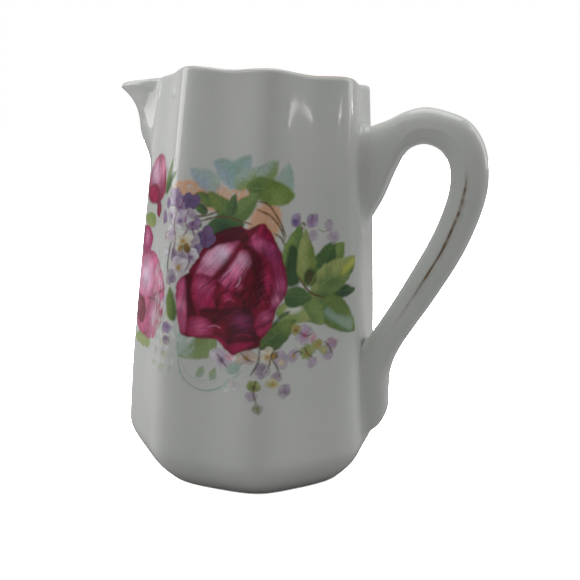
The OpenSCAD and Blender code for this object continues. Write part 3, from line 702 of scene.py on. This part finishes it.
def paint_left_flowers(f):
    """The flowers that wrap round the next panel."""
    f.leaf((-20.5, 77.4), (-15.8, 87), 1.5, LIME, GREEN, -0.1)
    f.leaf((-19, 77.4), (-13.4, 84), 1.2, GREEN, MOSS, 0.1)
    f.leaf((-27, 69.4), (-36.6, 70), 2.2, STRAW, LIME, 0.1)
    f.leaf((-23, 37), (-36.6, 35.2), 2.4, STRAW, LIME, -0.1)
    f.area([(-36.6, 80), (-32.5, 86), (-26.5, 87.6), (-21.4, 83.4), (-20.6, 78), (-25, 75),
            (-31, 74.4), (-36, 76)], RASPBERRY, MAGENTA,
           [(PALE, -31, 82, 3.6), (PINK, -25, 83, 2.6)], rough=0.6, streak=(0.5, 80))
    f.area([(-36, 77), (-31, 79.4), (-26.6, 78), (-27, 74.6), (-33, 74.2)], MAGENTA, DEEP, soft=0.7,
           streak=(0.4, 60))
    f.stroke([(-28.6, 86.4), (-26.4, 83), (-27.4, 79.4)], 0.6, CRIMSON, 0.8)
    f.area([(-27.4, 74.2), (-24.6, 75), (-22.8, 73), (-24.6, 70.8), (-27, 71.6)], MAGENTA, DEEP)
    f.area([(-38.4, 65.4), (-35, 67.4), (-31.6, 67.4), (-28.4, 64.6), (-30.4, 60.8), (-35, 60),
            (-38.2, 61.6)], MAUVE, MAGENTA,
           [(PINK, -33, 64.6, 1.8)])
    f.area([(-37.4, 58), (-34, 60.6), (-30, 61.4), (-24, 60.8), (-18, 58.4), (-14.4, 53.4),
            (-14.8, 45), (-20, 39), (-27, 37.4), (-33, 38), (-37, 41), (-39.4, 45.6), (-39.6, 52)],
           ROSE, RASPBERRY,
           [(PINK, -20, 55, 3)], rough=0.6, streak=(0.3, 30))
    f.area([(-36.8, 57), (-31, 60), (-25.4, 58), (-24.4, 52.6), (-28.6, 48.4), (-35, 47.8),
            (-38.8, 51)], PINK, ROSE, [(BLUSH, -31, 54, 3.6)], soft=0.5, streak=(0.3, 60))
    f.area([(-38, 47), (-32, 47.6), (-29.4, 44.4), (-31, 40.4), (-36, 41.6)], CRIMSON, DEEP,
           [(RASPBERRY, -34, 45, 1.6)], soft=0.5)
    f.area([(-27.6, 47), (-21.4, 48.6), (-16.4, 46), (-18.6, 41), (-23.6, 39), (-28, 41.6)],
           ROSE, RASPBERRY, [(PALE, -22, 44.4, 2.4)], soft=0.5, streak=(0.4, 40))
    f.area([(-23.4, 58.4), (-18.6, 57.6), (-15.4, 54.4), (-19, 52.6), (-24, 53.4)], PINK, ROSE,
           soft=0.6, streak=(0.4, 150))
    f.stroke([(-25, 49.4), (-19.4, 51), (-14, 53.6)], 1.0, CRIMSON, 0.85)
    f.stroke([(-28.6, 48), (-22, 49), (-15.5, 48.6)], 0.8, DEEP, 0.8)
    for u, colour in ((-15, SNOW), (-17.4, LILAC), (-19.2, MIST), (-21.4, LILAC), (-13.6, CREAM)):
        for k in range(8):
            drift = (7 * k - 5 * u) % 3.1
            f.petal(u - 0.9 + 0.6 * drift, 64 - 3.3 * k - drift, -90 + 30 * (-1) ** k,
                    2.2 + 0.7 * drift, 0.45 + 0.2 * drift,
                    (colour, MIST, colour, LILAC)[k % 4], SNOW, 0.42)
        f.stroke([(u, 63), (u - 0.6, 57), (u + 0.5, 50), (u - 0.4, 43), (u + 0.6, 39)], 0.34, STEM,
                 0.4)
    for u, colour in ((-15.6, MIST), (-13.2, STRAW), (-11, MIST), (-17.6, LIME)):
        for k in range(4):
            f.petal(u, 44 - 3.4 * k, -90 + 22 * (-1) ** k, 3.2, 0.9, colour, SNOW, 0.6)
    f.blossom(-15.8, 67, 2.4, LILAC, SNOW, GOLD)
    f.blossom(-18.4, 71.4, 2.6, VIOLET, LILAC, petals=4)
    f.blossom(-16.4, 75.4, 2.0, VIOLET, LILAC, petals=4)


def paint_spray(u, v, seed):
    f = Field(u, v, seed)
    paint_back_leaves(f)
    paint_right_leaves(f)
    paint_low_sprays(f)
    paint_big_rose(f)
    paint_left_flowers(f)
    paint_violets(f)
    return f


# ================================================================ films
FILM = 0.03                     # how far the visible films stand off the glaze
GRID = 0.21                     # spacing of the painted grid
FIELD_R = 33.0                  # radius at which u is measured round the jug
MARGIN = 3                      # grid steps of clear glaze kept round the paint


def grown(mask, steps):
    for _ in range(steps):
        wide = mask.copy()
        wide[1:] |= mask[:-1]
        wide[:-1] |= mask[1:]
        wide[:, 1:] |= mask[:, :-1]
        wide[:, :-1] |= mask[:, 1:]
        mask = wide
    return mask


def used_part(points, quads, keep, data):
    """Keep the quads marked in keep and the points they use."""
    used, index = np.unique(quads[keep], return_inverse=True)
    return points[used], index.reshape(-1, 4), data[used]


def build_spray(name, node, middle, from_u, to_u, shift, seed, material):
    """middle is the angle at which u is 0 on this side of the jug."""
    u = np.arange(from_u, to_u + GRID, GRID)
    v = np.arange(22, 92, GRID)
    field = paint_spray(u - shift, v, seed)
    cover = field.cover[..., None]
    colour = np.where(cover > 1e-4, field.colour / np.maximum(cover, 1e-4), 0)
    angle = middle + np.degrees(u / FIELD_R)
    points = skin(*np.meshgrid(angle, v), -FILM).reshape(-1, 3)
    keep = grown(field.cover > 0.02, MARGIN)[:-1, :-1].ravel()
    data = np.concatenate([colour, cover], -1).reshape(-1, 4)
    points, quads, data = used_part(points, grid_quads(len(v), len(u), False), keep, data)
    piece = mesh_piece(name, points, [quads], material, node)
    paint_attribute(piece, "ink", data[:, :3])
    paint_attribute(piece, "cover", data[:, 3])


# ================================================================ gilding
LIP_GOLD, LIP_GOLD_W = 74.0, 22.0           # turn over the lip at which the band is kept, its width
NEAR_KEPT, NEAR_KEPT_W = 322.0, 17.0        # angle of the best-kept stretch on the near side
FAR_KEPT, FAR_KEPT_W = 80.0, 30.0           # the same on the far side
MM_PER_TURN, MM_PER_STATION = 0.09, 4.6     # lengths round and along the strap


def away(angle, middle):
    return (angle - middle + 180) % 360 - 180


def build_rim_gilding(material):
    """Remains of the gold band on the lip, worn to patches."""
    angle, turn = np.arange(0, 360, 0.4), np.linspace(35, 130, 14)
    a, t = np.meshgrid(angle, turn)
    points = lip_point(a, t, FILM).reshape(-1, 3)
    around = RIM_R * np.radians(a)
    worn = value_noise(around, t * 0.02, 5.0, SEED)
    worn = worn + 0.5 * value_noise(around, t * 0.05, 1.1, SEED + 1)
    band = np.exp(-((t - LIP_GOLD) / LIP_GOLD_W) ** 2)
    near = np.exp(-(away(a, NEAR_KEPT) / NEAR_KEPT_W) ** 4)
    kept = 0.9 * np.exp(-(away(a, FAR_KEPT) / FAR_KEPT_W) ** 2) + 0.35
    cover = band * np.maximum(kept * ease((worn - 0.45) * 2.2), 1.1 * near)
    cover = np.clip(cover, 0, 1)
    quads = grid_quads(len(turn), len(angle), True)
    keep = grown(cover > 0.03, 2).ravel()[quads].all(1)
    points, quads, cover = used_part(points, quads, keep, cover.ravel())
    piece = mesh_piece("rim_gilding_remains", points, [quads], material,
                       "rim_gilding")
    paint_attribute(piece, "cover", cover)


def build_handle_gilding(material):
    """Worn lines of gold along both arrises of the handle, with a brown halo."""
    stations, turns = np.linspace(4.5, 15.5, 420), np.arange(-33, 33.1, 1.5)
    parts, faces, covers = [], [], []
    for side in (1, -1):
        s, t = np.meshgrid(stations, side * 90 + turns, indexing="ij")
        grid = strap_surface(s, t)
        normal = np.cross(np.gradient(grid, axis=1), np.gradient(grid, axis=0))
        normal /= np.maximum(np.linalg.norm(normal, axis=-1, keepdims=True), 1e-9)
        normal *= np.sign(normal[200, 22, 1]) * side
        off, along = (t - side * 90) * MM_PER_TURN, s * MM_PER_STATION
        wobble = value_noise(along, off * 0, 3.0, SEED + 3) - 0.5
        worn = value_noise(along, off, 0.7, SEED + 4)
        broken = ease(0.9 * value_noise(along, off * 0, 5.0, SEED + 6) + 0.55)
        fade = ease((s - 7.6) / 2) * ease((13.4 - s) / 2.4)
        width = 0.26 + 0.2 * wobble + 0.14 * fade
        line = np.exp(-((off + 0.25 * wobble) / width) ** 2)
        halo = 0.28 * np.exp(-((off - 0.3) / 1.0) ** 2)
        cover = np.clip((line * (0.75 + 0.5 * worn) * broken + halo * worn) * fade, 0, 1)
        quads = grid_quads(*s.shape, False)
        faces.append((quads if side > 0 else quads[:, ::-1]) + sum(len(p) for p in parts))
        parts.append((grid + FILM * normal).reshape(-1, 3))
        covers.append(cover.ravel())
    piece = mesh_piece("handle_gilding_remains", np.concatenate(parts), faces, material,
                       "handle_gilding")
    paint_attribute(piece, "cover", np.concatenate(covers))


# ================================================================ materials
class Nodes:
    """Short calls for building a material's node tree."""

    def __init__(self, name):
        self.material = bpy.data.materials.new(name)
        self.material.use_nodes = True
        self.tree = self.material.node_tree
        self.shader = self.tree.nodes["Principled BSDF"]
        self.shader.inputs["IOR"].default_value = 1.5

    def add(self, kind, **values):
        node = self.tree.nodes.new(kind)
        for key, value in values.items():
            setattr(node, key, value)
        return node

    def link(self, source, target):
        self.tree.links.new(source, target)

    def noise(self, scale, detail=3.0, rough=0.5):
        node = self.add("ShaderNodeTexNoise")
        node.inputs["Scale"].default_value = scale
        node.inputs["Detail"].default_value = detail
        node.inputs["Roughness"].default_value = rough
        self.link(self.place(), node.inputs["Vector"])
        return node.outputs["Fac"]

    def place(self):
        return self.add("ShaderNodeTexCoord").outputs["Object"]

    def ramp(self, source, *stops):
        node = self.add("ShaderNodeValToRGB")
        elements = node.color_ramp.elements
        while len(elements) < len(stops):
            elements.new(0.5)
        for element, (position, colour) in zip(elements, stops):
            element.position = position
            element.color = (*colour, 1.0)
        self.link(source, node.inputs["Fac"])
        return node.outputs["Color"]

    def attribute(self, name):
        return self.add("ShaderNodeAttribute", attribute_name=name).outputs["Color"]

    def blend(self, factor, a, b, mode="MIX"):
        node = self.add("ShaderNodeMix", data_type="RGBA", blend_type=mode)
        for socket, value in ((node.inputs["Factor"], factor), (node.inputs[6], a),
                              (node.inputs[7], b)):
            if isinstance(value, bpy.types.NodeSocket):
                self.link(value, socket)
            else:
                socket.default_value = value if isinstance(value, float) else (*value, 1.0)
        return node.outputs[2]

    def bump(self, height, distance, under=None):
        """distance in millimetres; under is a bump that this one adds to."""
        node = self.add("ShaderNodeBump")
        node.inputs["Strength"].default_value = 1.0
        node.inputs["Distance"].default_value = distance * MM
        self.link(height, node.inputs["Height"])
        if under is not None:
            self.link(under, node.inputs["Normal"])
        return node.outputs["Normal"]

    def feed(self, name, source):
        """Link a socket to one of the shader's inputs."""
        self.link(source, self.shader.inputs[name])

    def greys(self, source, low, high):
        """A ramp between two grey stops, each (position, value)."""
        return self.ramp(source, (low[0], (low[1],) * 3), (high[0], (high[1],) * 3))

    def waves(self):
        """The glaze's slow pooled waves."""
        return self.bump(self.noise(55.0, 2.0), 0.10)


def porcelain_colour(n):
    """Cool white paste with faint clouding and a few dark specks from the kiln."""
    cloud = n.ramp(n.noise(60.0, 4.0), (0.3, (0.69, 0.71, 0.675)), (0.7, (0.735, 0.75, 0.72)))
    speck = n.greys(n.noise(900.0, 2.0), (0.775, 0), (0.80, 1))
    thin = n.greys(n.noise(140.0, 1.0), (0.60, 0), (0.68, 1))
    spot = n.blend(1.0, speck, thin, "MULTIPLY")
    return n.blend(spot, cloud, (0.22, 0.17, 0.11))


def porcelain(name):
    """Clear glaze: pooled waves, orange peel and faint wear in its gloss."""
    n = Nodes(name)
    n.feed("Base Color", porcelain_colour(n))
    n.feed("Normal", n.bump(n.noise(420.0, 2.0), 0.006, n.waves()))
    n.feed("Roughness", n.greys(n.noise(160.0, 5.0, 0.7), (0.35, 0.045), (0.75, 0.12)))
    return n.material


def enamel(name):
    n = Nodes(name)
    cover = n.attribute("cover")
    n.feed("Base Color", n.blend(cover, porcelain_colour(n), n.attribute("ink")))
    n.feed("Normal", n.bump(cover, 0.03, n.waves()))
    n.feed("Roughness", n.greys(n.noise(700.0, 3.0, 0.7), (0.35, 0.07), (0.75, 0.2)))
    return n.material


def worn_gold(name, dull, bright, metal):
    """Gold where its cover is full, brown stain and clear glaze where it is worn. metal is how
    metallic the full gold looks."""
    n = Nodes(name)
    cover = n.attribute("cover")
    gold = n.blend(n.noise(900.0, 4.0, 0.7), dull, bright)
    n.feed("Base Color", n.blend(cover, porcelain_colour(n), gold))
    n.feed("Metallic", n.greys(cover, (0.45, 0), (0.9, metal)))
    n.feed("Specular IOR Level", n.greys(cover, (0.2, 0.5), (0.7, metal / 2)))
    n.feed("Roughness", n.greys(n.noise(800.0, 4.0, 0.7), (0.3, 0.12), (0.8, 0.34)))
    n.feed("Normal", n.waves())
    return n.material


# ================================================================ stage, lights and camera
FLOOR_BOUNCE, FLOOR_SEEN = 0.42, 9.0        # the table as the jug and as the camera sees it
BRIGHT_SIDE = (-0.9, 0.35, 0.2)             # where the surround is brightest


def stage_floor():
    """A pale table. The camera sees it lighter than it shines on the jug."""
    mesh = bpy.data.meshes.new("floor")
    far = 30.0
    mesh.from_pydata([(-far, -far, 0), (far, -far, 0), (far, far, 0), (-far, far, 0)], [],
                     [(0, 1, 2, 3)])
    floor = bpy.data.objects.new("floor", mesh)
    bpy.context.scene.collection.objects.link(floor)
    n = Nodes("pale table")
    seen = n.add("ShaderNodeLightPath").outputs["Is Camera Ray"]
    colour = n.blend(seen, (FLOOR_BOUNCE,) * 3, (FLOOR_SEEN,) * 3)
    diffuse = n.add("ShaderNodeBsdfDiffuse")
    n.link(colour, diffuse.inputs["Color"])
    n.link(diffuse.outputs[0], n.tree.nodes["Material Output"].inputs["Surface"])
    mesh.materials.append(n.material)


def backdrop(dim, bright):
    """A surround that is full white to the camera and lights the jug most from the back left."""
    world = bpy.data.worlds.new("studio")
    bpy.context.scene.world = world
    world.use_nodes = True
    tree = world.node_tree
    ground = tree.nodes["Background"]
    ground.inputs["Color"].default_value = (1, 1, 1, 1)
    seen = tree.nodes.new("ShaderNodeLightPath").outputs["Is Camera Ray"]
    facing = tree.nodes.new("ShaderNodeVectorMath")
    facing.operation = "DOT_PRODUCT"
    facing.inputs[1].default_value = BRIGHT_SIDE
    tree.links.new(tree.nodes.new("ShaderNodeTexCoord").outputs["Generated"], facing.inputs[0])
    depth = tree.nodes.new("ShaderNodeMapRange")
    for socket, value in (("From Min", -1.0), ("From Max", 1.0), ("To Min", dim),
                          ("To Max", bright)):
        depth.inputs[socket].default_value = value
    tree.links.new(facing.outputs["Value"], depth.inputs["Value"])
    strength = tree.nodes.new("ShaderNodeMix")
    strength.inputs[3].default_value = 1.0
    tree.links.new(depth.outputs[0], strength.inputs[2])
    tree.links.new(seen, strength.inputs[0])
    tree.links.new(strength.outputs[0], ground.inputs["Strength"])


def soft_light(name, place, aim, size, power, tilt=0.0):
    """place and aim in millimetres, size as (width, height) in millimetres, power in watts, tilt in
    degrees round the light's own direction."""
    data = bpy.data.lights.new(name, "AREA")
    data.shape = "RECTANGLE"
    data.size, data.size_y = size[0] * MM, size[1] * MM
    data.energy = power
    lamp = bpy.data.objects.new(name, data)
    bpy.context.scene.collection.objects.link(lamp)
    start, end = Vector(place) * MM, Vector(aim) * MM
    lamp.location = start
    turn = (end - start).to_track_quat("-Z", "Y").to_matrix()
    lamp.rotation_euler = (turn @ Matrix.Rotation(np.radians(tilt), 3, "Z")).to_euler()


CAMERA_PLACE = (73.06, -196.23, 91.6)       # from the vessel's axis
CAMERA_LOOK = (-0.2328, 0.9618, -0.1439)
CAMERA_ROLL = 3.38
CAMERA_LENS = 44.3
CAMERA_SHIFT = (-0.0945, -0.0624)


def place_camera():
    data = bpy.data.cameras.new("camera")
    data.lens, data.sensor_width = CAMERA_LENS, 36.0
    data.shift_x, data.shift_y = CAMERA_SHIFT
    data.clip_start, data.clip_end = 0.01, 100.0
    camera = bpy.data.objects.new("camera", data)
    bpy.context.scene.collection.objects.link(camera)
    look = Vector(CAMERA_LOOK).normalized()
    right = look.cross(Vector((0, 0, 1))).normalized()
    up = right.cross(look)
    c, s = float(cosd(CAMERA_ROLL)), float(sind(CAMERA_ROLL))
    right, up = c * right + s * up, c * up - s * right
    turn = Matrix((right, up, -look)).transposed().to_4x4()
    spot = Vector(CAMERA_PLACE) + Vector((AXIS_X, 0, 0))
    camera.matrix_world = Matrix.Translation(spot * MM) @ turn
    bpy.context.scene.camera = camera


glazed = porcelain("glazed porcelain")
build_body(glazed)
build_handle(glazed)
roses = enamel("rose enamel")
build_spray("rose_spray_near_paint", "rose_spray_near", -90.0, -40.4, 40.0, 0.0, SEED, roses)
build_spray("rose_spray_far_paint", "rose_spray_far", 90.0, -42.2, 38.0, -2.0, SEED + 40, roses)
build_rim_gilding(worn_gold("rim gold", (0.22, 0.11, 0.05), (0.36, 0.20, 0.10), 0.0))
build_handle_gilding(worn_gold("handle gold", (0.10, 0.06, 0.03), (0.30, 0.18, 0.08), 0.5))

stage_floor()
backdrop(0.07, 0.66)
soft_light("left softbox", (-520, -60, 260), (0, 0, 60), (300, 420), 0.92)
soft_light("right back softbox", (460, 240, 330), (0, 0, 60), (320, 420), 0.9)
soft_light("top softbox", (0, 60, 620), (0, 0, 0), (500, 400), 1.3)
soft_light("front left strip", (-205, -354, 539), (0, 0, 100), (340, 10), 0.085)
soft_light("right high strip", (420, -64, 524), (0, 0, 100), (340, 10), 0.085)
soft_light("right window", (590, -150, 215), (15, -22, 101), (62, 8), 0.014, 14.0)
soft_light("back right window", (480, 330, 190), (28, -11, 101), (16, 16), 0.022)
place_camera()
bpy.context.scene.view_settings.view_transform = "Standard"
